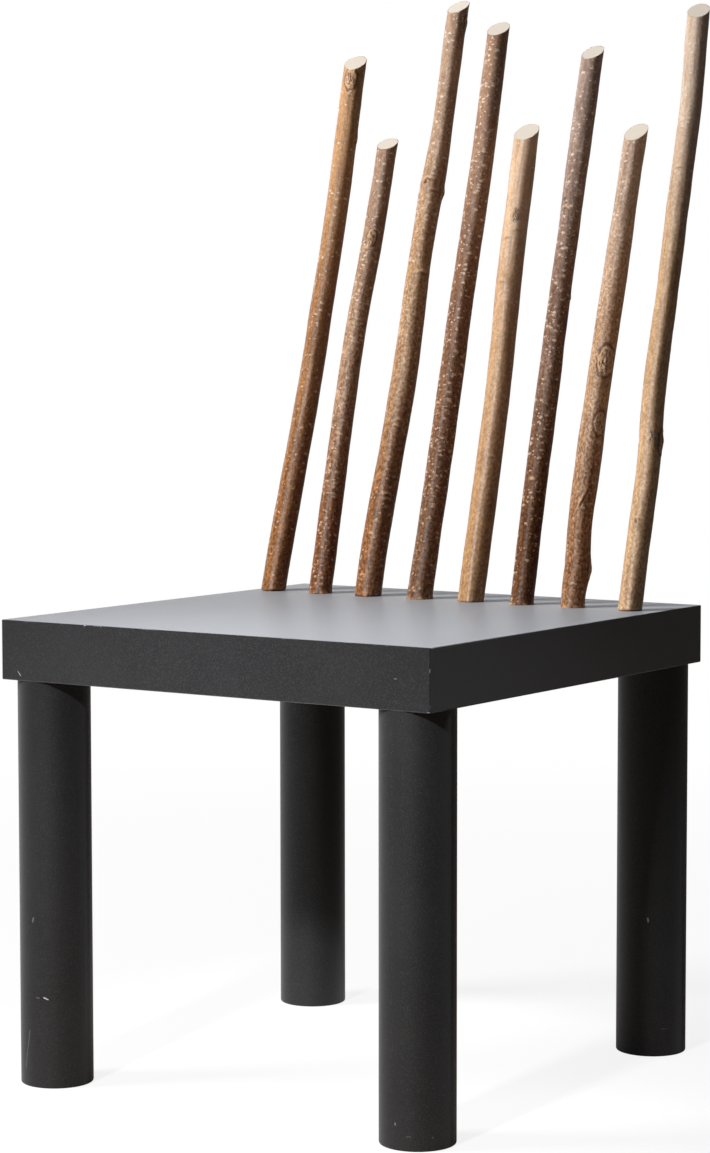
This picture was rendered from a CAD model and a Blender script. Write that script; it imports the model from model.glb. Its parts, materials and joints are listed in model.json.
# %% [markdown]
# # A chair with a back of natural branches
# The chair is a thick slab on four round legs, all lacquered matt black. Eight branches with their
# bark on stand in a row near the slab's rear edge. Its solids were made in a CAD program at their
# real size. This lesson loads them, sets up the camera and the studio, gives the lacquer, the hidden
# wood and the steel their finishes, and models each branch again with the bark that its solid lacks.
# The solids stay where they are, and every new piece is fitted to them.

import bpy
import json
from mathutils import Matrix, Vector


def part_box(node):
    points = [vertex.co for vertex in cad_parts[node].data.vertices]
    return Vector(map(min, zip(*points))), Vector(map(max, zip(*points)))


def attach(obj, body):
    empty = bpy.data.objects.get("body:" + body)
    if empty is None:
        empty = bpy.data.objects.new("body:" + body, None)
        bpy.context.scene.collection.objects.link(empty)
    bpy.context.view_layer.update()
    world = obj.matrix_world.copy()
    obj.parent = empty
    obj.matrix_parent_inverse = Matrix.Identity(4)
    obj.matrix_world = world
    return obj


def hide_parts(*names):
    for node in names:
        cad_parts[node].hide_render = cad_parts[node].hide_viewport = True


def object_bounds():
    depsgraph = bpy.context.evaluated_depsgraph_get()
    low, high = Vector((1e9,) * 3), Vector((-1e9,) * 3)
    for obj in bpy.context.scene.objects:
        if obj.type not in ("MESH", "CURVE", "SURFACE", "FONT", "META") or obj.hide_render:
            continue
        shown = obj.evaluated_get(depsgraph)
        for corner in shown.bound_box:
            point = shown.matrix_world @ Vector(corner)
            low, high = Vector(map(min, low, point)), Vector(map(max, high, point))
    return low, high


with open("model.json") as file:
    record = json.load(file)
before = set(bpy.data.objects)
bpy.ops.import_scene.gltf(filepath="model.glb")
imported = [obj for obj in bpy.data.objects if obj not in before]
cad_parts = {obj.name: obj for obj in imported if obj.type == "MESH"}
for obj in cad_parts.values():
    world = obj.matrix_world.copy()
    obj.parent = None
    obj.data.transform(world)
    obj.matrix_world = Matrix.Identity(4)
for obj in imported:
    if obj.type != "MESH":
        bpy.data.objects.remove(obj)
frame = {"nodes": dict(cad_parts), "record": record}
cad_box = [list(corner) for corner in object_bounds()]
print(len(frame["nodes"]), "solids in a box from", cad_box[0], "to", cad_box[1])

# %% Modules, units and the chair's main places
import json
import math

import bmesh
import bpy
import numpy as np
from mathutils import Matrix, Vector, noise
from mathutils.bvhtree import BVHTree

mm = 0.001
scene = bpy.context.scene
nodes = frame["nodes"]
seat_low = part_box("seat_bottom_panel")[0]
seat_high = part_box("seat_top_panel")[1]
seat_top = seat_high.z
print("seat top at %.3f m, slab %.1f mm thick" % (seat_top, (seat_top - seat_low.z) / mm))

# %% [markdown]
# ## The camera
# The photograph was taken from about three metres away, to the right of the chair's front and a
# little above its seat, with a long lens that keeps the slab's edges almost parallel. Such a view can
# be found by trial, but here the camera was fitted to the corners of the slab and the sides of the
# legs. A camera looks down its own -Z axis, so it is first tilted up from looking at the floor, and
# then turned about the vertical.

# %% Camera
camera_place = Vector((1.6877, -2.5616, 0.7263))
camera_turn = math.radians(33.920)
camera_dip = math.radians(4.553)
camera_roll = math.radians(-0.059)
camera_lens = 97.01

camera = bpy.data.objects.new("camera", bpy.data.cameras.new("camera"))
camera.data.lens = camera_lens
turn = Matrix.Rotation(camera_turn, 4, "Z")
tilt = Matrix.Rotation(math.radians(90) - camera_dip, 4, "X")
roll = Matrix.Rotation(camera_roll, 4, "Z")
camera.matrix_world = Matrix.Translation(camera_place) @ turn @ tilt @ roll
scene.collection.objects.link(camera)
scene.camera = camera
scene.view_settings.view_transform = "Standard"
print("camera %.2f m from the chair" % camera_place.xy.length)

# %% [markdown]
# ## Shader nodes in a few words
# Every finish below is a small network of shader nodes. Adding each node by hand takes three or four
# lines, so these helpers do it in one. A value for a socket may be a plain number or colour, or the
# output of another node, which is then linked. Colours are written as they look on a screen, from 0
# to 255, and turned into the linear values that light is worked out in.

# %% Helpers for materials
def screen_colour(red, green, blue):
    """A colour as a screen shows it, as the linear value that a shader needs."""
    shares = [part / 255 for part in (red, green, blue)]
    return [s / 12.92 if s <= 0.04045 else ((s + 0.055) / 1.055) ** 2.4 for s in shares] + [1.0]


def add(tree, kind, inputs=None, **settings):
    """One shader node, with its settings, and a value or a link for each of its inputs."""
    made = tree.nodes.new("ShaderNode" + kind)
    for name, value in settings.items():
        setattr(made, name, value)
    for name, value in (inputs or {}).items():
        if isinstance(value, bpy.types.NodeSocket):
            tree.links.new(value, made.inputs[name])
        else:
            made.inputs[name].default_value = value
    return made


def arithmetic(tree, operation, first, second=0.0, third=0.0, clamp=False):
    """One step of arithmetic on up to three values."""
    values = {0: first, 1: second, 2: third}
    return add(tree, "Math", values, operation=operation, use_clamp=clamp).outputs[0]


def step_between(tree, value, low, high):
    """0 below low, 1 above high, and a soft step from one to the other."""
    limits = {"Value": value, "From Min": low, "From Max": high}
    return add(tree, "MapRange", limits, interpolation_type="SMOOTHSTEP").outputs[0]


def share_between(tree, value, low, high, most):
    """The same soft step, times a share that it reaches at most."""
    return arithmetic(tree, "MULTIPLY", step_between(tree, value, low, high), most, clamp=True)


def lay_over(tree, share, first, second, kind="MIX"):
    """The first colour, with a share of the second laid over it."""
    mix = add(tree, "Mix", {0: share, 6: first, 7: second}, data_type="RGBA", blend_type=kind)
    return mix.outputs[2]


def vector_step(tree, operation, first, second=(0.0, 0.0, 0.0)):
    """One step of arithmetic on two vectors."""
    return add(tree, "VectorMath", {0: first, 1: second}, operation=operation)


def stretched(tree, place, across, along):
    """A place scaled sideways and along z, for a pattern that is longer one way than the other."""
    return vector_step(tree, "MULTIPLY", place, (across, across, along)).outputs[0]


def speckle(tree, place, scale, detail=2.0):
    """A cloudy pattern from 0 to 1; the scale is in clouds per metre."""
    inputs = {"Vector": place, "Scale": scale, "Detail": detail}
    return add(tree, "TexNoise", inputs).outputs[0]


def new_material(name):
    """An empty material and its network."""
    material = bpy.data.materials.new(name)
    material.use_nodes = True
    material.node_tree.nodes.clear()
    return material, material.node_tree


def surface(tree, shader):
    """Links the last shader of a network to the material's output."""
    add(tree, "OutputMaterial", {"Surface": shader.outputs[0]})


print("black lacquer on a screen, (40, 40, 42), is", [round(c, 4) for c in screen_colour(40, 40, 42)])

# %% [markdown]
# ## The studio
# The chair stands in a white studio: a pale floor that runs into a white background. The background
# is a world, and it is white all over to the camera. What a gloss sees is white only behind the chair
# and to its left, where the photograph's backdrop hung, and dim on the photographer's side. The light
# that the world sheds on the chair comes mostly from that backdrop too. It is a little blue, and it
# grazes the top of the seat and the edges of the branches. The rest of the room sheds a weak, warm
# light. The floor is mostly the same white, and takes just enough of the lamps' light to keep the
# chair's soft shadow. What light the floor sends back up is weak and warm as well.

# %% Background
backdrop_way = (-0.848, 0.530, 0.0)
gloss_edge, gloss_full = 0.5, 0.9      # how nearly a gloss has to look at the backdrop to see it
glow_edge, glow_full = 0.55, 0.97      # the same for the light that the backdrop sheds
gloss_of_room = 0.05
room_light, backdrop_light = 0.035, 1.0
room_tint = (1.0, 0.93, 0.88, 1.0)
backdrop_tint = (0.93, 0.97, 1.06, 1.0)
pure_white = (1.0, 1.0, 1.0, 1.0)

world = bpy.data.worlds.new("white_background")
world.use_nodes = True
world.node_tree.nodes.clear()
scene.world = world


def share_seen(tree):
    """1 for a ray from the camera, a gloss or a glass, and 0 for one that gathers light."""
    rays = add(tree, "LightPath").outputs
    seen = arithmetic(tree, "MAXIMUM", rays["Is Camera Ray"], rays["Is Glossy Ray"])
    return arithmetic(tree, "MAXIMUM", seen, rays["Is Transmission Ray"])


def whiteness(tree, direction):
    """1 for the camera, and for a gloss 1 towards the backdrop and less in other directions."""
    facing = vector_step(tree, "DOT_PRODUCT", direction, backdrop_way).outputs["Value"]
    limits = {"Value": facing, "From Min": gloss_edge, "From Max": gloss_full, "To Min": gloss_of_room}
    from_camera = add(tree, "LightPath").outputs["Is Camera Ray"]
    return arithmetic(tree, "MAXIMUM", add(tree, "MapRange", limits).outputs[0], from_camera)


sky = world.node_tree
looking = add(sky, "TexCoord").outputs["Generated"]
facing = vector_step(sky, "DOT_PRODUCT", looking, backdrop_way).outputs["Value"]
limits = {"Value": facing, "From Min": glow_edge, "From Max": glow_full}
towards = add(sky, "MapRange", limits).outputs[0]
level = arithmetic(sky, "MULTIPLY_ADD", towards, backdrop_light - room_light, room_light)
tint = lay_over(sky, towards, room_tint, backdrop_tint)
shed = add(sky, "Background", {"Color": tint, "Strength": level})
seen = add(sky, "Background", {"Color": pure_white, "Strength": whiteness(sky, looking)})
both = add(sky, "MixShader", {0: share_seen(sky), 1: shed.outputs[0], 2: seen.outputs[0]})
add(sky, "OutputWorld", {"Surface": both.outputs[0]})
print("background 1 to the camera, and from %.3f to %.1f to the chair" % (room_light, backdrop_light))

# %% Floor
floor_radius = 14.0
floor_white_share = 0.86
shadow_reach, white_reach = 0.5, 2.2
floor_paint = (0.95, 0.95, 0.95, 1.0)
floor_bounce = (0.30, 0.25, 0.22, 1.0)

floor_material, tree = new_material("pale_floor")
from_camera = add(tree, "LightPath").outputs["Is Camera Ray"]
tone = lay_over(tree, from_camera, floor_bounce, floor_paint)
plaster = add(tree, "BsdfDiffuse", {"Color": tone})
glow = add(tree, "Emission", {"Color": pure_white, "Strength": 1.0})
spot = add(tree, "TexCoord").outputs["Object"]
reach = vector_step(tree, "LENGTH", spot).outputs["Value"]
limits = {"Value": reach, "From Min": shadow_reach, "From Max": white_reach, "To Min": floor_white_share}
share = arithmetic(tree, "MULTIPLY", share_seen(tree), add(tree, "MapRange", limits).outputs[0])
spot_way = vector_step(tree, "NORMALIZE", spot).outputs[0]
share = arithmetic(tree, "MULTIPLY", share, whiteness(tree, spot_way))
surface(tree, add(tree, "MixShader", {0: share, 1: plaster.outputs[0], 2: glow.outputs[0]}))

disc = bmesh.new()
bmesh.ops.create_circle(disc, cap_ends=True, segments=64, radius=floor_radius)
floor_mesh = bpy.data.meshes.new("floor")
disc.to_mesh(floor_mesh)
disc.free()
floor_mesh.materials.append(floor_material)
floor = bpy.data.objects.new("floor", floor_mesh)
scene.collection.objects.link(floor)
print("floor %.0f m across" % (2 * floor_radius))

# %% [markdown]
# ## The lamps
# In the photograph the left side of every branch is bright and the right side almost black, and the
# branches' shadows join into one band that runs along the row. So the main light is a soft box at the
# left, 32 degrees up, and beside it only the weaker light of the backdrop reaches the branches. The
# fronts of the legs are brighter than that lamp alone would make them, and under the slab there are
# arcs of shadow on them. A narrow lamp in front, aimed low, lights the legs and the slab's front but
# passes below the branches.
# A thin pale line runs down the middle of each branch, where the bark mirrors something tall and
# narrow beside the camera. A strip lamp that shows only in the gloss of the branches stands for it,
# and the soft box shows in no gloss, as behind a polarising filter.

# %% Lamps
chair_middle = Vector((0.0, 0.0, 0.55))
low_target = Vector((0.05, -0.25, 0.1))
left_distance, strip_distance, low_distance = 3.2, 3.2, 3.4
left_level, strip_level, low_level = 1.42, 0.95, 0.95
spot_to_panel = 4      # a spot needs this many times a panel's power for the same light


def hang_lamp(name, kind, turn, height, distance, target):
    """A lamp aimed at a point. The turn is from the front of the chair towards its right, and the
    height is above the floor, both in degrees."""
    turn, height = math.radians(turn), math.radians(height)
    flat = math.cos(height)
    way = Vector((math.sin(turn) * flat, -math.cos(turn) * flat, math.sin(height)))
    lamp = bpy.data.objects.new(name, bpy.data.lights.new(name, kind))
    lamp.location = target + way * distance
    lamp.rotation_euler = way.to_track_quat("Z", "Y").to_euler()
    lamp.visible_camera = False
    scene.collection.objects.link(lamp)
    return lamp


def panel_watts(level, distance):
    """The power at which a surface that faces a panel lamp shows its own colour, times the level."""
    return level * math.pi ** 2 * distance ** 2


left_light = hang_lamp("left_light", "AREA", -47, 32, left_distance, chair_middle)
left_light.data.size = 1.1
left_light.data.energy = panel_watts(left_level, left_distance)
left_light.visible_glossy = False

strip_light = hang_lamp("strip_light", "AREA", 2, 23, strip_distance, chair_middle)
strip_light.data.shape = "RECTANGLE"
strip_light.data.size = 0.42
strip_light.data.size_y = 1.8
strip_light.data.energy = panel_watts(strip_level, strip_distance)
strip_light.visible_diffuse = False
barked = bpy.data.collections.new("barked")
strip_light.light_linking.receiver_collection = barked

low_light = hang_lamp("low_front_light", "SPOT", 6, 38, low_distance, low_target)
low_light.data.spot_size = math.radians(13.4)
low_light.data.spot_blend = 0.15
low_light.data.shadow_soft_size = 0.12
low_light.data.energy = spot_to_panel * panel_watts(low_level, low_distance)
for lamp in (left_light, strip_light, low_light):
    print("%s: %.0f watts" % (lamp.name, lamp.data.energy))

# %% [markdown]
# ## Black lacquer
# The slab and the legs were painted with a matt black lacquer. Matt paint has a fine uneven skin, so
# a wide, weak gloss fits it, and seen at a shallow angle, as on the slab's top, it turns pale grey.
# A sheen does that: a soft light film that grows towards the edge of what is seen.
# The paint is worn thin along the slab's edges and round the feet of the legs, and has a few pale
# chips and scratches. They could be cut into the mesh, but they are well under a millimetre deep, so
# the material draws them. Each one is the space within half a width of a line between two points.

# %% Masks for wear on the lacquer
slab_middle = (seat_low + seat_high) / 2
slab_half = (seat_high - seat_low) / 2
mark_outside, mark_inside = 1.15, 0.75      # where a mark ends and is full, as shares of its half width


def scratch_mask(tree, place, ragged, start, end, half_width):
    """1 inside a scratch or chip that runs from start to end, and 0 outside it."""
    run = Vector(end) - Vector(start)
    offset = vector_step(tree, "SUBTRACT", place, start).outputs[0]
    along = vector_step(tree, "DOT_PRODUCT", offset, run).outputs["Value"]
    share = arithmetic(tree, "DIVIDE", along, run.length_squared, clamp=True)
    shares = add(tree, "CombineXYZ", {0: share, 1: share, 2: share}).outputs[0]
    nearest = vector_step(tree, "MULTIPLY", shares, run).outputs[0]
    gap = vector_step(tree, "DISTANCE", offset, nearest).outputs["Value"]
    gap = arithmetic(tree, "MULTIPLY_ADD", ragged, half_width, gap)
    return step_between(tree, gap, mark_outside * half_width, mark_inside * half_width)


def slab_edge_gap(tree, place):
    """How far a point on the slab lies from the nearest of its edges."""
    offset = vector_step(tree, "SUBTRACT", place, slab_middle).outputs[0]
    sides = vector_step(tree, "ABSOLUTE", offset).outputs[0]
    gaps = vector_step(tree, "SUBTRACT", slab_half, sides).outputs[0]
    x, y, z = add(tree, "SeparateXYZ", {0: gaps}).outputs
    nearer = arithmetic(tree, "MINIMUM", x, y)
    further = arithmetic(tree, "MAXIMUM", x, y)
    return arithmetic(tree, "MAXIMUM", nearer, arithmetic(tree, "MINIMUM", further, z))


print("the slab is %.0f by %.0f mm" % (slab_half.x * 2 / mm, slab_half.y * 2 / mm))

# %% The lacquer's network
worn_edge_width = 1.3 * mm
worn_edge_least = 0.1 * mm
worn_edge_blur = 0.4 * mm
skin_scale, grit_scale, cloud_scale = 1000.0, 380.0, 13.0
patch_scale, ragged_scale = 90.0, 1500.0
black_deep = screen_colour(23, 23, 24)
black_even = screen_colour(28, 28, 29)
black_dusty = screen_colour(46, 46, 47)
paint_worn = screen_colour(88, 87, 86)
sheen_film = {"Sheen Roughness": 0.42, "Sheen Tint": (0.89, 0.93, 1.0, 1.0)}
slab_gloss = {"Specular IOR Level": 0.25, "Sheen Weight": 1.0, **sheen_film}
leg_gloss = {"Specular IOR Level": 0.42, "Sheen Weight": 0.3, **sheen_film}
slab_roughness, leg_roughness = (0.32, 0.38), (0.5, 0.6)


def lacquer(name, marks, on_slab):
    """Matt black lacquer with its own marks: rows of start, end, width and tone on the screen."""
    material, tree = new_material(name)
    place = add(tree, "TexCoord").outputs["Object"]
    skin = speckle(tree, place, skin_scale)
    cloud = speckle(tree, place, cloud_scale, 5.0)
    grit = speckle(tree, place, grit_scale, 3.0)
    colour = lay_over(tree, step_between(tree, cloud, 0.35, 0.7), black_deep, black_even)
    colour = lay_over(tree, step_between(tree, grit, 0.62, 0.85), colour, black_dusty)
    colour = lay_over(tree, share_between(tree, skin, 0.5, 0.65, 0.9), colour, black_dusty)
    edge = slab_edge_gap(tree, place) if on_slab else add(tree, "SeparateXYZ", {0: place}).outputs[2]
    patch = step_between(tree, speckle(tree, place, patch_scale, 5.0), 0.5, 0.75)
    reach = arithmetic(tree, "MULTIPLY_ADD", patch, worn_edge_width, worn_edge_least)
    past_edge = arithmetic(tree, "SUBTRACT", reach, edge)
    colour = lay_over(tree, share_between(tree, past_edge, 0.0, worn_edge_blur, 0.6), colour, paint_worn)
    ragged = arithmetic(tree, "SUBTRACT", speckle(tree, place, ragged_scale), 0.5)
    for start, end, width, tone in marks:
        inside = scratch_mask(tree, place, ragged, start, end, width / 2)
        colour = lay_over(tree, inside, colour, screen_colour(tone, tone, tone - 4))
    relief = arithmetic(tree, "MULTIPLY_ADD", grit, 0.6, skin)
    bump = add(tree, "Bump", {"Height": relief, "Distance": 0.08 * mm, "Strength": 0.8})
    smoothest, roughest = slab_roughness if on_slab else leg_roughness
    rough = add(tree, "MapRange", {"Value": cloud, "To Min": smoothest, "To Max": roughest})
    varied = {"Base Color": colour, "Roughness": rough.outputs[0], "Normal": bump.outputs[0]}
    surface(tree, add(tree, "BsdfPrincipled", {**varied, **(slab_gloss if on_slab else leg_gloss)}))
    return material


print("wear reaches %.1f mm in from an edge" % (worn_edge_width / mm))

# %% Where the lacquer is marked
front = seat_low.y
right = seat_high.x
seat_marks = (
    ((-0.2232, front, 0.4015), (-0.2196, front, 0.3972), 0.8 * mm, 150),
    ((-0.1416, front, 0.4497), (-0.1410, front, 0.4497), 1.0 * mm, 225),
    ((-0.1300, front, 0.4497), (-0.1294, front, 0.4497), 0.8 * mm, 215),
    ((-0.1258, front, 0.4497), (-0.1252, front, 0.4497), 0.8 * mm, 225),
    ((-0.1228, front, 0.4497), (-0.1222, front, 0.4497), 0.8 * mm, 215),
    ((0.2058, front, 0.4208), (0.2078, front, 0.4208), 1.1 * mm, 92),
    ((0.2428, front, 0.4315), (0.2428, front, 0.4285), 1.4 * mm, 105),
    ((0.2402, front, 0.3930), (0.2430, front, 0.3930), 1.3 * mm, 120),
    ((right, front + 0.0015, 0.4497), (right, front + 0.0060, 0.4497), 1.2 * mm, 120))
leg_marks = {
    "front_left_leg": (
        ((-0.1963, -0.2942, 0.0885), (-0.1925, -0.2929, 0.0868), 1.2 * mm, 175),
        ((-0.2045, -0.2961, 0.0880), (-0.2008, -0.2955, 0.0878), 0.9 * mm, 90),
        ((-0.2128, -0.2957, 0.0554), (-0.2197, -0.2940, 0.0171), 0.7 * mm, 92),
        ((-0.2070, -0.2961, 0.1650), (-0.2080, -0.2961, 0.1612), 1.6 * mm, 88)),
    "front_right_leg": (
        ((0.2063, -0.2961, 0.0248), (0.2065, -0.2961, 0.0230), 1.1 * mm, 115),
        ((0.2175, -0.2946, 0.0137), (0.2208, -0.2936, 0.0137), 1.2 * mm, 66),
        ((0.2362, -0.2812, 0.0128), (0.2368, -0.2806, 0.0121), 1.3 * mm, 74),
        ((0.2330, -0.2838, 0.0128), (0.2334, -0.2835, 0.0121), 1.6 * mm, 26),
        ((0.2122, -0.2958, 0.1160), (0.2128, -0.2958, 0.1060), 2.6 * mm, 30)),
    "rear_left_leg": (),
    "rear_right_leg": (
        ((0.2210, 0.1421, 0.1400), (0.2214, 0.1423, 0.1370), 1.9 * mm, 150),
        ((0.2325, 0.1500, 0.0280), (0.2368, 0.1542, 0.0280), 1.2 * mm, 62)),
}


def paint_node(name, material):
    """Gives a solid of the chair its finish."""
    for slot in nodes[name].material_slots:
        slot.material = material


slab_pieces = ("seat_top_panel", "seat_bottom_panel", "front_rail", "rear_rail", "left_rail", "right_rail")
seat_lacquer = lacquer("lacquer_seat", seat_marks, True)
for name in slab_pieces:
    paint_node(name, seat_lacquer)
for name, marks in leg_marks.items():
    paint_node(name, lacquer("lacquer_" + name, marks, False))
print(len(slab_pieces), "pieces of the slab and", len(leg_marks), "legs are lacquered")

# %% [markdown]
# ## Wood and steel inside the seat
# The frame, ribs and blocks inside the slab are planed softwood, with growth lines along each piece.
# A wave bent by a slow cloud draws such lines. The studs, sleeves and screws are zinc-plated steel,
# which has a fine turned brushing round its axis and a cloudy roughness.

# %% Frame wood and steel
growth_lines = {"Scale": 60.0, "Distortion": 6.0, "Detail": 3.0, "Detail Scale": 0.6}
wood_pale, wood_line = screen_colour(222, 192, 148), screen_colour(196, 152, 102)
wood_fibre = screen_colour(150, 108, 70)
zinc_blue, zinc_yellow = screen_colour(176, 178, 184), screen_colour(206, 205, 198)


def frame_wood():
    """Planed, unfinished softwood."""
    material, tree = new_material("planed_softwood")
    place = add(tree, "TexCoord").outputs["Object"]
    bands = add(tree, "TexWave", {"Vector": place, **growth_lines}, bands_direction="Z").outputs["Fac"]
    fibres = speckle(tree, stretched(tree, place, 1.0, 9.0), 260.0, 4.0)
    colour = lay_over(tree, bands, wood_pale, wood_line)
    colour = lay_over(tree, share_between(tree, fibres, 0.3, 0.8, 0.3), colour, wood_fibre)
    bump = add(tree, "Bump", {"Height": fibres, "Distance": 0.05 * mm, "Strength": 0.5})
    surface(tree, add(tree, "BsdfPrincipled", {
        "Base Color": colour, "Roughness": 0.65, "Specular IOR Level": 0.3, "Normal": bump.outputs[0]}))
    return material


def plated_steel():
    """Zinc-plated steel, turned on a lathe."""
    material, tree = new_material("zinc_plated_steel")
    place = add(tree, "TexCoord").outputs["Object"]
    rings = speckle(tree, stretched(tree, place, 1.0, 30.0), 200.0, 3.0)
    cloud = speckle(tree, place, 90.0, 4.0)
    colour = lay_over(tree, cloud, zinc_blue, zinc_yellow)
    rough = add(tree, "MapRange", {"Value": rings, "To Min": 0.28, "To Max": 0.46})
    bump = add(tree, "Bump", {"Height": rings, "Distance": 0.02 * mm, "Strength": 0.4})
    surface(tree, add(tree, "BsdfPrincipled", {
        "Base Color": colour, "Metallic": 1.0, "Roughness": rough.outputs[0], "Normal": bump.outputs[0]}))
    return material


softwood, steel = frame_wood(), plated_steel()
slot_of = {piece["node"]: piece["material_slot"] for piece in frame["record"]["subparts"]}
for name, slot in slot_of.items():
    if slot == "frame_wood":
        paint_node(name, softwood)
    if slot == "steel":
        paint_node(name, steel)
print(sorted(set(slot_of.values())))

# %% [markdown]
# ## Measuring a branch's solid
# Each branch of the real chair is a pruned rod with its bark on: it bends a little, swells at its
# knots and is sawn off at a slant. Its solid has that line, and the new branch is laid on it. A branch
# is measured as with callipers: slice after slice, rays run in from all round it, and the mean of the
# points that they hit is the middle of the slice. The radii are then evened out along the branch, so
# that a knot swells softly. A ray needs one closed skin, so the solid's loose triangles are merged
# first, in a copy.

# %% Callipers for a branch
slice_gap = 2.5 * mm
slice_rays = 32
smoothing_passes = 6
calliper_reach = 60 * mm
foot_trim = 6 * mm
cut_trim = 1 * mm
above_seat, below_seat = 1 * mm, 5 * mm
weld_gap = 0.005 * mm
flat_gap = 0.02 * mm
level_axes = (Vector((1, 0, 0)), Vector((0, 1, 0)))


def merged_copy(name):
    """The triangles of a solid as one closed skin."""
    skin = bmesh.new()
    skin.from_mesh(nodes[name].data)
    bmesh.ops.remove_doubles(skin, verts=skin.verts, dist=weld_gap)
    return skin


def saw_cut(skin):
    """The middle of the slanted cut and its direction, from the flattest face at the highest corner."""
    tip = max(skin.verts, key=lambda corner: corner.co.z)
    way = max(tip.link_faces, key=lambda face: face.normal.z).normal.copy()
    corners = [v.co for v in skin.verts if abs((v.co - tip.co).dot(way)) < flat_gap]
    return sum(corners, Vector()) / len(corners), way


def slice_middle(skin_tree, middle, axes, tries=3):
    """The middle of one slice and its radii, from rays that run in from all round."""
    for _ in range(tries):
        hits = []
        for ray in range(slice_rays):
            angle = 2 * math.pi * ray / slice_rays
            outward = math.cos(angle) * axes[0] + math.sin(angle) * axes[1]
            hits.append(skin_tree.ray_cast(middle + outward * calliper_reach, -outward)[0])
        last_middle = middle
        middle = sum(hits, Vector()) / slice_rays
    return last_middle, [(hit - last_middle).length for hit in hits]


print("a slice every %.1f mm, from %d sides" % (slice_gap / mm, slice_rays))

# %% The line and girth of each branch
def measure_branch(name):
    """The branch's foot, tenon, sides and cut, and each slice's height, middle and radii."""
    skin = merged_copy(name)
    skin_tree = BVHTree.FromBMesh(skin)
    cut_middle, cut_way = saw_cut(skin)
    low = [v.co.xy for v in skin.verts if abs(v.co.z - seat_top) < flat_gap]
    guess = sum(low, Vector((0, 0))) / len(low)
    foot = slice_middle(skin_tree, Vector((guess.x, guess.y, seat_top + above_seat)), level_axes)[0]
    tenon = slice_middle(skin_tree, Vector((guess.x, guess.y, seat_top - below_seat)), level_axes)[0]
    foot.z = seat_top
    up = (cut_middle - foot).normalized()
    across = Vector((0, 1, 0)).cross(up).normalized()
    back = up.cross(across)
    tips = [v.co for v in skin.verts if abs((v.co - cut_middle).dot(cut_way)) < flat_gap]
    end = min((tip - foot).dot(up) for tip in tips) - cut_trim
    heights = np.arange(foot_trim, end, slice_gap)
    middles, radii = [], []
    middle = foot + up * foot_trim
    for height in heights:
        middle, around = slice_middle(skin_tree, middle, (across, back))
        middles.append(list(middle))
        radii.append(around)
        middle = middle + up * slice_gap
    skin.free()
    radii = np.array(radii)
    for _ in range(smoothing_passes):
        radii[1:-1] = (radii[:-2] + 2 * radii[1:-1] + radii[2:]) / 4
    return {"foot": foot, "tenon": tenon, "across": across, "back": back,
            "cut": (cut_middle, cut_way), "length": (cut_middle - foot).dot(up),
            "heights": heights, "middles": np.array(middles), "radii": radii}


branch_numbers = range(1, 9)
measured = {number: measure_branch("stick_%d" % number) for number in branch_numbers}
for number, branch in measured.items():
    thickness = 2 * branch["radii"][0].mean()
    print("branch %d: %.0f mm long, %.1f mm thick at the seat, %d slices" % (
        number, branch["length"] / mm, thickness / mm, len(branch["heights"])))

# %% [markdown]
# ## What grew on each branch
# A list says where each branch has a knot, an arc or a pit, as seen in the photograph. The height is
# in millimetres above the seat and the side in degrees from the front towards the right. The last two
# numbers are how wide the feature is and how far it stands out, in millimetres. A knot is what is
# left of a pruned twig: a raised oval of wrinkled bark with a pale rim and a dark groove round it. A
# scar is a smaller one without them, a shade darker than the bark round it. An arc is a short pale
# ridge with a dark fold under it, where a leaf or a bud sat. A pit is a small dark hole, and a nick is
# a slanted sliver of bark that stands up.

# %% Features of the branches
features = {
    1: (("knot", 563, 21, 5.8, 1.1), ("arc", 546, 24, 3.0, 0.4), ("arc", 497, 112, 5.0, 0.4),
        ("arc", 300, 10, 3.0, 0.15)),
    2: (("knot", 384, 26, 4.4, 0.7), ("arc", 374, 12, 4.0, 0.5), ("arc", 392, 20, 3.0, 0.4),
        ("pit", 277, -22, 2.0, 0.35), ("arc", 170, 20, 3.0, 0.15)),
    3: (("arc", 449, 10, 4.5, 0.5), ("arc", 437, 40, 5.0, 0.6), ("pit", 443, -4, 3.4, 0.6),
        ("knot", 622, 116, 5.0, 0.3), ("arc", 347, 58, 6.0, 1.0), ("arc", 179, 36, 4.5, 0.7),
        ("arc", 186, 40, 3.0, 0.5), ("arc", 107, 46, 5.0, 0.8), ("arc", 102, 52, 4.0, 0.6),
        ("arc", 77, 24, 3.5, 0.4), ("arc", 64, 8, 3.0, 0.3), ("arc", 20, -8, 3.0, 0.3)),
    4: (("arc", 430, 20, 3.0, 0.15), ("arc", 205, -20, 3.0, 0.15)),
    5: (("scar", 405, 23, 4.2, 0.4), ("arc", 392, 40, 4.0, 0.5), ("arc", 384, 4, 4.0, 0.3),
        ("arc", 336, 0, 4.0, 0.4), ("arc", 150, 40, 3.0, 0.2)),
    6: (("scar", 418, -14, 2.4, 0.4), ("arc", 412, -4, 3.5, 0.5), ("arc", 320, 112, 5.0, 0.4),
        ("arc", 128, 10, 3.0, 0.2)),
    7: (("knot", 250, 50, 7.4, 1.6), ("knot", 186, 62, 5.6, 0.6), ("nick", 106, 22, 7.0, 1.0),
        ("knot", 39, 116, 6.0, 0.4), ("arc", 22, 20, 4.0, 0.3)),
    8: (("knot", 171, 116, 7.0, 0.5), ("scar", 172, 44, 4.4, 0.35), ("pit", 87, 4, 2.2, 0.3),
        ("arc", 92, 10, 4.0, 0.4), ("arc", 452, 10, 3.0, 0.3)),
}
print(sum(len(rows) for rows in features.values()), "knots, scars, arcs, pits and nicks")

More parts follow.
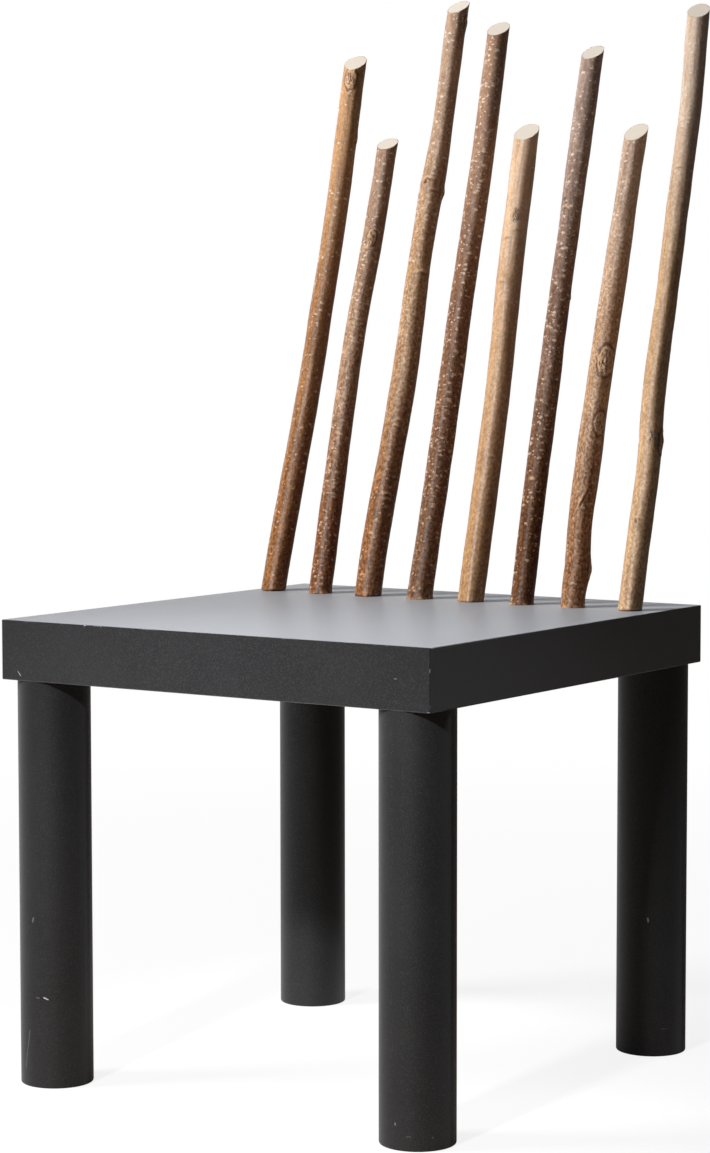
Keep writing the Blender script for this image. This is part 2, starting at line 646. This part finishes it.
# %% [markdown]
# ## The shape of the bark
# The bark could be drawn on a smooth tube, but then its outline would stay too clean. Here every
# point of the tube moves out or in by a fraction of a millimetre: slow swellings, ridges that run
# along the branch, small wrinkles, and then the features in the list. This noise is smooth and always
# the same for the same place, so the bark doesn't change from run to run.

# %% Relief of the bark
swelling = 0.42 * mm
ridges = 0.34 * mm
wrinkles = 0.12 * mm
knot_stretch = 1.75
relief_layers = ((swelling, 45, 34), (ridges, 150, 11), (wrinkles, 520, 210))
branch_offset = 3.7      # metres along the noise from one branch to the next


def hump(distance, width):
    """1 in the middle, falling smoothly to almost nothing at twice the width."""
    return math.exp(-(distance / width) ** 2)


def feature_relief(row, height, side, radius):
    """How far one feature lifts a point of the bark, how dark or pale it is, and how wrinkled.
    The numbers are the places, widths and strengths of its ridges and folds, in millimetres or as
    shares of its width and rise."""
    kind, feature_height, feature_side, width, rise = row
    up = height / mm - feature_height
    turn = (side - math.radians(feature_side) + math.pi) % (2 * math.pi) - math.pi
    round_it = turn * radius / mm
    if max(abs(up), abs(round_it)) > 3 * width:
        return 0.0, 0.0, 0.0
    wobble = noise.noise(Vector((round_it * 0.22, up * 0.22, feature_height)))
    if kind == "arc":
        line = up + 0.09 * round_it ** 2 / width + 1.6 * wobble
        reach = hump(round_it, 0.95 * width)
        ridge = hump(line, 1.25) * reach
        fold = hump(line + 2.6, 1.0) * reach
        return rise * mm * (ridge - 0.5 * fold), 1.1 * ridge - 0.8 * fold, 0.0
    if kind == "nick":
        sliver = hump(round_it - 0.4 * up, 1.1) * hump(up, width)
        shade = hump(round_it - 0.4 * up - 2.1, 1.0) * hump(up, width)
        return rise * mm * (sliver - 0.4 * shade), 1.3 * sliver - 0.7 * shade, 0.0
    away = math.hypot(up * 0.75, round_it) / width
    if kind == "pit":
        pit = hump(away, 0.55)
        lip = hump(away - 0.95, 0.3)
        return rise * mm * (0.6 * lip - pit), 0.35 * lip - 1.3 * pit, 0.0
    away = math.hypot(up / knot_stretch, round_it) / width + 0.3 * wobble
    inside = min(1.0, max(0.0, (1.15 - away) / 0.3))
    folds = noise.noise(Vector((round_it * 0.5, up * 0.3, feature_height)))
    dome = max(0.0, 1 - 0.8 * away ** 2) + 0.6 * inside * folds
    if kind == "scar":
        return rise * mm * dome, -0.1 * inside, inside
    rim, moat = hump(away - 1.0, 0.16), hump(away - 1.3, 0.15)
    return rise * mm * (dome + 0.5 * rim), 0.6 * inside + 0.7 * rim - moat, inside


def waves(place, across, along):
    """Smooth noise from -1 to 1, with so many waves per metre round a branch and along it."""
    return noise.noise(Vector((place.x * across, place.y * across, place.z * along)))


def bark_relief(number, height, side, radius):
    """How far the bark stands out at one point, and the tone and the wrinkling that go with it."""
    own_height = height + branch_offset * number
    place = Vector((math.sin(side) * radius, -math.cos(side) * radius, own_height))
    lift = sum(depth * waves(place, across, along) for depth, across, along in relief_layers)
    tone, wrinkled = 0.0, 0.0
    for row in features[number]:
        feature_lift, feature_tone, feature_wrinkled = feature_relief(row, height, side, radius)
        lift += feature_lift
        tone += feature_tone
        wrinkled += feature_wrinkled
    return lift, tone, wrinkled


print("plain bark moves by up to %.1f mm" % ((swelling + ridges + wrinkles) / mm))

# %% [markdown]
# ## Growing a branch
# A branch starts as a plain upright tube, whose long sides are divided into rings. Each of its
# points is then moved from the tube to the measured branch: the ring's height gives the middle, the
# point's angle gives the radius, and the bark's relief is added. The point's place on the straight
# tube is kept in an attribute called grain, so that the bark's pattern bends with the branch. Two
# more attributes, tone and wrinkled, tell the material where the features in the list lie.

# %% Bend a tube into a branch
tube_sides = 96
ring_gap = 1.35 * mm
spare_length = 30 * mm
slope_slices = 8


def plain_tube(low, high):
    """An upright tube of radius 1, in rings, between two heights."""
    tube = bmesh.new()
    middle = Matrix.Translation((0, 0, (low + high) / 2))
    bmesh.ops.create_cone(tube, cap_ends=False, segments=tube_sides, radius1=1, radius2=1,
                          depth=high - low, matrix=middle)
    long_edges = [edge for edge in tube.edges if abs(edge.verts[0].co.z - edge.verts[1].co.z) > mm]
    bmesh.ops.subdivide_edges(tube, edges=long_edges, cuts=round((high - low) / ring_gap))
    return tube


def slice_at(branch, height):
    """The middle and the radii of a branch at a height, run straight on past its ends."""
    heights, middles, radii = branch["heights"], branch["middles"], branch["radii"]
    row = min(max((height - heights[0]) / slice_gap, 0.0), len(heights) - 1.001)
    low, share = int(row), row - int(row)
    around = radii[low] * (1 - share) + radii[low + 1] * share
    if heights[0] < height < heights[-1]:
        return Vector(middles[low] * (1 - share) + middles[low + 1] * share), around
    end, inner = (0, slope_slices) if height <= heights[0] else (-1, -1 - slope_slices)
    slope = (middles[end] - middles[inner]) / (heights[end] - heights[inner])
    return Vector(middles[end] + slope * (height - heights[end])), around


def bent_tube(number):
    """The bark of one branch, still too long at both ends, with its three attributes."""
    branch = measured[number]
    tube = plain_tube(-spare_length / 3, branch["length"] + spare_length)
    grain = tube.verts.layers.float_vector.new("grain")
    tone_layer = tube.verts.layers.float.new("tone")
    wrinkled_layer = tube.verts.layers.float.new("wrinkled")
    slices = {}
    for point in tube.verts:
        height = point.co.z
        if height not in slices:
            slices[height] = slice_at(branch, height)
        middle, around = slices[height]
        turn = math.atan2(point.co.y, point.co.x)
        column = (turn / (2 * math.pi) * slice_rays) % slice_rays
        left, part = int(column) % slice_rays, column % 1
        radius = around[left] * (1 - part) + around[(left + 1) % slice_rays] * part
        lift, tone, wrinkled = bark_relief(number, height, turn + math.pi / 2, radius)
        outward = math.cos(turn) * branch["across"] + math.sin(turn) * branch["back"]
        point[grain] = (math.cos(turn) * radius, math.sin(turn) * radius, height)
        point[tone_layer] = tone
        point[wrinkled_layer] = wrinkled
        point.co = middle + outward * (radius + lift)
    return tube


print("%d points round a branch, a ring every %.2f mm" % (tube_sides, ring_gap / mm))

# %% [markdown]
# ## Sawing, fraying and the tenon
# Each branch has been grown too long at both ends, and is now sawn by two planes: a slanted one at
# the top, and the level top of the seat at the foot. Five of the cuts lean a few degrees more to the
# left than on the solids, as in the photograph. On most branches the bark came loose at the foot and
# stands out in a ragged lip, and on some it is pressed under a little. Below the seat the branch is
# turned down to a round tenon, which leans back like the branch.

# %% Shape the ends of a branch
bark_thickness = 0.5 * mm
shoulder_width = 0.5 * mm
lip_height = 2.2 * mm
frayed_height = 4 * lip_height
tuck_height = 1.5 * mm
torn_share, torn_swing = 0.45, 1.3      # how much of the lip stands out, and how unevenly
lip_tone, tuck_tone = 0.6, -1.6         # the lip shows fresh bark, and what is tucked is dark
plane_gap = 0.01 * mm
tenon_radius = 7 * mm
tenon_length = 40 * mm
lean = math.radians(15)
lean_way = Vector((0, math.sin(lean), math.cos(lean)))
cut_leans = {1: (-0.13, 0.05, 0), 3: (-0.13, 0.05, 0), 4: (-0.13, 0.05, 0), 6: (-0.1, 0.05, 0),
             8: (-0.08, 0.0, 0)}
frayed_feet = {1: 0.0, 2: 1.1, 3: 0.9, 4: 1.2, 5: 0.3, 6: 1.0, 7: 1.3, 8: 0.3}
tucked_feet = {1: 1.1, 3: 1.0, 5: 0.6, 8: 0.9}


def saw(skin, middle, way):
    """Cuts off all that lies ahead of a plane, and fills the cut with one face."""
    everything = skin.verts[:] + skin.edges[:] + skin.faces[:]
    bmesh.ops.bisect_plane(skin, geom=everything, plane_co=middle, plane_no=way, clear_outer=True)
    rim = [edge for edge in skin.edges if edge.is_boundary
           and all(abs((corner.co - middle).dot(way)) < plane_gap for corner in edge.verts)]
    return bmesh.ops.edgeloop_fill(skin, edges=rim)["faces"][0]


def fray_foot(skin, number, axis):
    """Pushes the bark out in a ragged lip just above the seat, and tucks its last edge under."""
    tone_layer = skin.verts.layers.float["tone"]
    for point in skin.verts:
        above = max(0.0, point.co.z - seat_top)
        if above > frayed_height:
            continue
        outward = Vector((point.co.x - axis.x, point.co.y - axis.y, 0)).normalized()
        torn = torn_share + torn_swing * noise.noise(Vector((outward.x * 5, outward.y * 5, 3.1 * number)))
        lip = max(0.0, torn) * math.exp(-(above / lip_height) ** 1.5) * frayed_feet[number]
        tuck = tucked_feet.get(number, 0.0) * max(0.0, 1 - above / tuck_height)
        point.co += outward * (lip - tuck) * mm
        point[tone_layer] += lip_tone * lip + tuck_tone * tuck


def add_tenon(skin, foot_face, number):
    """Narrows the foot to a round tenon and runs it down into the seat."""
    bmesh.ops.inset_region(skin, faces=[foot_face], thickness=shoulder_width)
    centre = measured[number]["tenon"]
    centre = centre + lean_way * ((seat_top - centre.z) / lean_way.z)
    for corner in foot_face.verts:
        flat = (corner.co - centre).xy.normalized()
        corner.co.x = centre.x + flat.x * tenon_radius
        corner.co.y = centre.y + flat.y * tenon_radius / math.cos(lean)
    down = bmesh.ops.extrude_face_region(skin, geom=[foot_face])["geom"]
    bottom = [part for part in down if isinstance(part, bmesh.types.BMVert)]
    bmesh.ops.translate(skin, verts=bottom, vec=-lean_way * tenon_length)
    bmesh.ops.delete(skin, geom=[foot_face], context="FACES_ONLY")


print("tenons %.0f mm thick and %.0f mm long" % (2 * tenon_radius / mm, tenon_length / mm))

# %% [markdown]
# ## The look of bark
# Young bark is smooth, with a film of pale cork worn away in places. It has long faint streaks, fine
# mottling that is strongest near the foot, and lenticels: small pale pores, wider round the branch
# than along it. A cell pattern draws them: each pore is the middle of a cell, and only part of the
# cells have one, more in some stretches than in others. Every branch has its own colours at the foot,
# in the middle and at the top, and its own share of pores. The bark is a little glossy, most where
# the cork is whole. On knots and scars there are fine dark creases too: they are drawn only where the
# attribute called wrinkled asks for them.

# %% Colours of the bark
# For each branch the colours at its foot, in its middle and at its top, and its share of pores.
bark_looks = {
    1: ((151, 97, 46), (164, 116, 73), (200, 152, 106), 0.2),
    2: ((135, 80, 35), (176, 137, 105), (171, 135, 108), 0.55),
    3: ((151, 96, 48), (194, 152, 111), (184, 149, 121), 0.4),
    4: ((128, 88, 59), (139, 97, 68), (175, 137, 109), 0.55),
    5: ((199, 149, 99), (210, 165, 121), (228, 189, 152), 0.15),
    6: ((112, 70, 37), (140, 106, 85), (176, 149, 133), 0.5),
    7: ((161, 112, 73), (199, 158, 121), (202, 170, 145), 0.4),
    8: ((215, 172, 128), (207, 165, 121), (218, 191, 166), 0.15),
}
fresh_bark = screen_colour(236, 194, 150)
low_pore, high_pore = screen_colour(214, 172, 134), screen_colour(246, 228, 210)
fold_dark = screen_colour(88, 48, 28)
fleck_strength = {1: 0.65, 2: 0.85, 3: 0.75, 4: 0.8, 5: 0.4, 6: 0.8, 7: 0.75, 8: 0.4}
bark_gloss = {1: 0.4, 2: 0.4, 3: 0.45, 4: 0.3, 5: 0.6, 6: 0.2, 7: 0.3, 8: 0.5}
pore_shares = [look[3] for look in bark_looks.values()]
print("pores in %.2f to %.2f of the cells" % (min(pore_shares), max(pore_shares)))

# %% Pores
least_radius, radius_range = 0.17, 0.2      # in cells
least_crowd, crowd_range = 0.5, 0.9         # as shares of the branch's own share of pores


def grown(tree, place, across, along, detail=2.0):
    """A cloudy pattern with so many clouds per metre round a branch and along it."""
    return speckle(tree, stretched(tree, place, across, along), 1.0, detail)


def pores(tree, place, share, across, along):
    """Pale pores of uneven size, in loose groups, one in the middle of a share of the cells."""
    warp = add(tree, "TexNoise", {"Vector": place, "Scale": 900.0, "Detail": 0.0}).outputs["Color"]
    warp = vector_step(tree, "MULTIPLY", warp, (0.5, 0.5, 0.5)).outputs[0]
    where = vector_step(tree, "ADD", stretched(tree, place, across, along), warp).outputs[0]
    cells = add(tree, "TexVoronoi", {"Vector": where, "Scale": 1.0})
    chance, size, _ = add(tree, "SeparateColor", {0: cells.outputs["Color"]}).outputs
    crowd = step_between(tree, grown(tree, place, 30, 22), 0.35, 0.62)
    crowd = arithmetic(tree, "MULTIPLY_ADD", crowd, crowd_range, least_crowd)
    present = arithmetic(tree, "LESS_THAN", chance, arithmetic(tree, "MULTIPLY", crowd, share))
    radius = arithmetic(tree, "MULTIPLY_ADD", size, radius_range, least_radius)
    within = arithmetic(tree, "SUBTRACT", radius, cells.outputs["Distance"])
    return arithmetic(tree, "MULTIPLY", step_between(tree, within, -0.06, 0.04), present)


print("a pore is %.2f to %.2f of a cell wide" % (2 * least_radius, 2 * (least_radius + radius_range)))

# %% The bark's network
pore_cells, dot_cells = (150, 230), (300, 360)
dot_way = (0.0, 0.0, 0.9)
dark_streak, pale_cork = (0.55, 0.5, 0.46, 1.0), (1.2, 1.26, 1.32, 1.0)
dark_mottle, pale_mottle = (0.45, 0.38, 0.33, 1.0), (1.5, 1.62, 1.72, 1.0)


def bark(number):
    """The bark of one branch."""
    foot, middle, top, pore_share = bark_looks[number]
    material, tree = new_material("bark_of_branch_%d" % number)
    grain = add(tree, "Attribute", attribute_name="grain").outputs["Vector"]
    tone = add(tree, "Attribute", attribute_name="tone").outputs["Fac"]
    shift = vector_step(tree, "ADD", grain, (0.0, 0.0, 1.7 * number)).outputs[0]
    height = add(tree, "SeparateXYZ", {0: grain}).outputs[2]
    rise = arithmetic(tree, "DIVIDE", height, measured[number]["length"], clamp=True)
    foot, middle, top = screen_colour(*foot), screen_colour(*middle), screen_colour(*top)
    colour = lay_over(tree, step_between(tree, rise, 0.1, 0.5), foot, middle)
    colour = lay_over(tree, step_between(tree, rise, 0.5, 0.9), colour, top)
    streaks = grown(tree, shift, 300, 24, 4.0)
    colour = lay_over(tree, share_between(tree, streaks, 0.48, 0.7, 0.6), colour, dark_streak, "MULTIPLY")
    cork = grown(tree, shift, 80, 34, 5.0)
    colour = lay_over(tree, share_between(tree, cork, 0.48, 0.62, 0.6), colour, pale_cork, "MULTIPLY")
    mottle = grown(tree, shift, 420, 300, 5.0)
    lower = add(tree, "MapRange", {"Value": rise, "To Min": 1.3, "To Max": 0.35}).outputs[0]
    flecks = arithmetic(tree, "MULTIPLY", lower, fleck_strength[number])
    dark = share_between(tree, mottle, 0.5, 0.6, flecks)
    colour = lay_over(tree, dark, colour, dark_mottle, "MULTIPLY")
    light = share_between(tree, mottle, 0.48, 0.38, flecks)
    colour = lay_over(tree, light, colour, pale_mottle, "MULTIPLY")
    pore = pores(tree, shift, pore_share, *pore_cells)
    dot_place = vector_step(tree, "ADD", shift, dot_way).outputs[0]
    dots = pores(tree, dot_place, pore_share * 0.5, *dot_cells)
    pale = arithmetic(tree, "MAXIMUM", pore, dots)
    pore_colour = lay_over(tree, rise, low_pore, high_pore)
    colour = lay_over(tree, arithmetic(tree, "MULTIPLY", pale, 0.85), colour, pore_colour)
    colour = lay_over(tree, arithmetic(tree, "MULTIPLY", tone, -1.0, clamp=True), colour, fold_dark)
    colour = lay_over(tree, arithmetic(tree, "MULTIPLY", tone, 0.9, clamp=True), colour, fresh_bark)
    wrinkled = add(tree, "Attribute", attribute_name="wrinkled").outputs["Fac"]
    folds = grown(tree, shift, 330, 150)
    crease = arithmetic(tree, "ABSOLUTE", arithmetic(tree, "SUBTRACT", folds, 0.5))
    crease = arithmetic(tree, "MULTIPLY", step_between(tree, crease, 0.065, 0.01), wrinkled)
    colour = lay_over(tree, arithmetic(tree, "MULTIPLY", crease, 0.75, clamp=True), colour, fold_dark)
    relief = arithmetic(tree, "MULTIPLY_ADD", pale, 0.8, mottle)
    relief = arithmetic(tree, "MULTIPLY_ADD", crease, -3.0, relief)
    bump = add(tree, "Bump", {"Height": relief, "Distance": 0.2 * mm, "Strength": 0.8})
    rough = add(tree, "MapRange", {"Value": cork, "To Min": 0.5, "To Max": 0.38})
    surface(tree, add(tree, "BsdfPrincipled", {
        "Base Color": colour, "Roughness": rough.outputs[0], "Specular IOR Level": bark_gloss[number],
        "Sheen Weight": 0.7, "Normal": bump.outputs[0], **sheen_film}))
    return material


print("bark for", len(bark_looks), "branches")

# %% [markdown]
# ## Sawn wood
# The cuts at the top and the tenons under the seat show bare wood: pale, with growth rings round the
# heart, a few darker specks, and the fine marks of the saw. The rings are a wave in the distance from
# the branch's middle, shifted a little by a cloudy pattern, so they are not quite round.

# %% Saw cuts
ring_waves = 4200.0      # radians of the wave per metre, so a ring every 1.5 mm
cut_pale, cut_ring = screen_colour(243, 233, 219), screen_colour(235, 223, 204)
cut_speck = screen_colour(176, 150, 118)


def sawn_wood():
    """The pale wood of a saw cut across a branch, with its growth rings and saw marks."""
    material, tree = new_material("sawn_branch_wood")
    grain = add(tree, "Attribute", attribute_name="grain").outputs["Vector"]
    flat = stretched(tree, grain, 1.0, 0.0)
    cloud = speckle(tree, grain, 180.0, 3.0)
    radius = vector_step(tree, "LENGTH", flat).outputs["Value"]
    rings = arithmetic(tree, "SINE", arithmetic(tree, "MULTIPLY_ADD", radius, ring_waves, cloud))
    colour = lay_over(tree, step_between(tree, rings, 0.3, 1.0), cut_pale, cut_ring)
    specks = share_between(tree, speckle(tree, grain, 1100.0), 0.68, 0.8, 0.4)
    colour = lay_over(tree, specks, colour, cut_speck)
    saw_lines = speckle(tree, vector_step(tree, "MULTIPLY", grain, (120.0, 900.0, 120.0)).outputs[0], 1.0)
    bump = add(tree, "Bump", {"Height": saw_lines, "Distance": 0.1 * mm, "Strength": 0.4})
    surface(tree, add(tree, "BsdfPrincipled", {
        "Base Color": colour, "Roughness": 0.8, "Specular IOR Level": 0.2, "Normal": bump.outputs[0]}))
    return material


cut_wood = sawn_wood()
print("a growth ring every %.1f mm" % (2 * math.pi / ring_waves / mm))

# %% [markdown]
# ## Putting the branches in place
# Each branch is built, given its two materials, and put in place of its plain solid. The solid is
# still there for the physics, but it no longer shows. A branch is smooth all round and flat at its
# cuts, so the sawn face and the thin ring of bark round it are shaded flat, and all the rest smooth.

# %% Build the branches
bark_slot, wood_slot = 0, 1
seat_gap = 0.1 * mm
nearly_level = 0.9      # the least upward or downward part of a level face's direction


def finish_branch(skin, cut_face):
    """Marks the flat and the smooth faces, and gives each its material."""
    ring = bmesh.ops.inset_region(skin, faces=[cut_face], thickness=bark_thickness)["faces"]
    for face in skin.faces:
        face.smooth = True
        face.material_index = bark_slot
    tenon_faces = [face for face in skin.faces if face.calc_center_median().z < seat_top - seat_gap]
    for face in [cut_face] + tenon_faces:
        face.material_index = wood_slot
    for face in [cut_face] + ring:
        face.smooth = False
    for face in skin.faces:
        height = face.calc_center_median().z
        if abs(face.normal.z) > nearly_level and abs(height - seat_top) < seat_gap:
            face.smooth = False
    limit = Vector(cad_box[1])
    for point in skin.verts:
        point.co = Vector([min(part, most) for part, most in zip(point.co, limit)])
    bmesh.ops.recalc_face_normals(skin, faces=skin.faces)


for number in branch_numbers:
    skin = bent_tube(number)
    fray_foot(skin, number, measured[number]["foot"])
    cut_middle, cut_way = measured[number]["cut"]
    cut_way = (cut_way / cut_way.z + Vector(cut_leans.get(number, (0, 0, 0)))).normalized()
    cut_face = saw(skin, cut_middle, cut_way)
    foot_face = saw(skin, Vector((0, 0, seat_top)), Vector((0, 0, -1)))
    add_tenon(skin, foot_face, number)
    finish_branch(skin, cut_face)
    mesh = bpy.data.meshes.new("branch_%d" % number)
    skin.to_mesh(mesh)
    open_edges = sum(edge.is_boundary for edge in skin.edges)
    skin.free()
    mesh.materials.append(bark(number))
    mesh.materials.append(cut_wood)
    branch = bpy.data.objects.new("branch_%d" % number, mesh)
    scene.collection.objects.link(branch)
    barked.objects.link(branch)
    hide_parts("stick_%d" % number)
    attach(branch, "root")
    print("branch_%d: %d faces, %d open edges" % (number, len(mesh.polygons), open_edges))
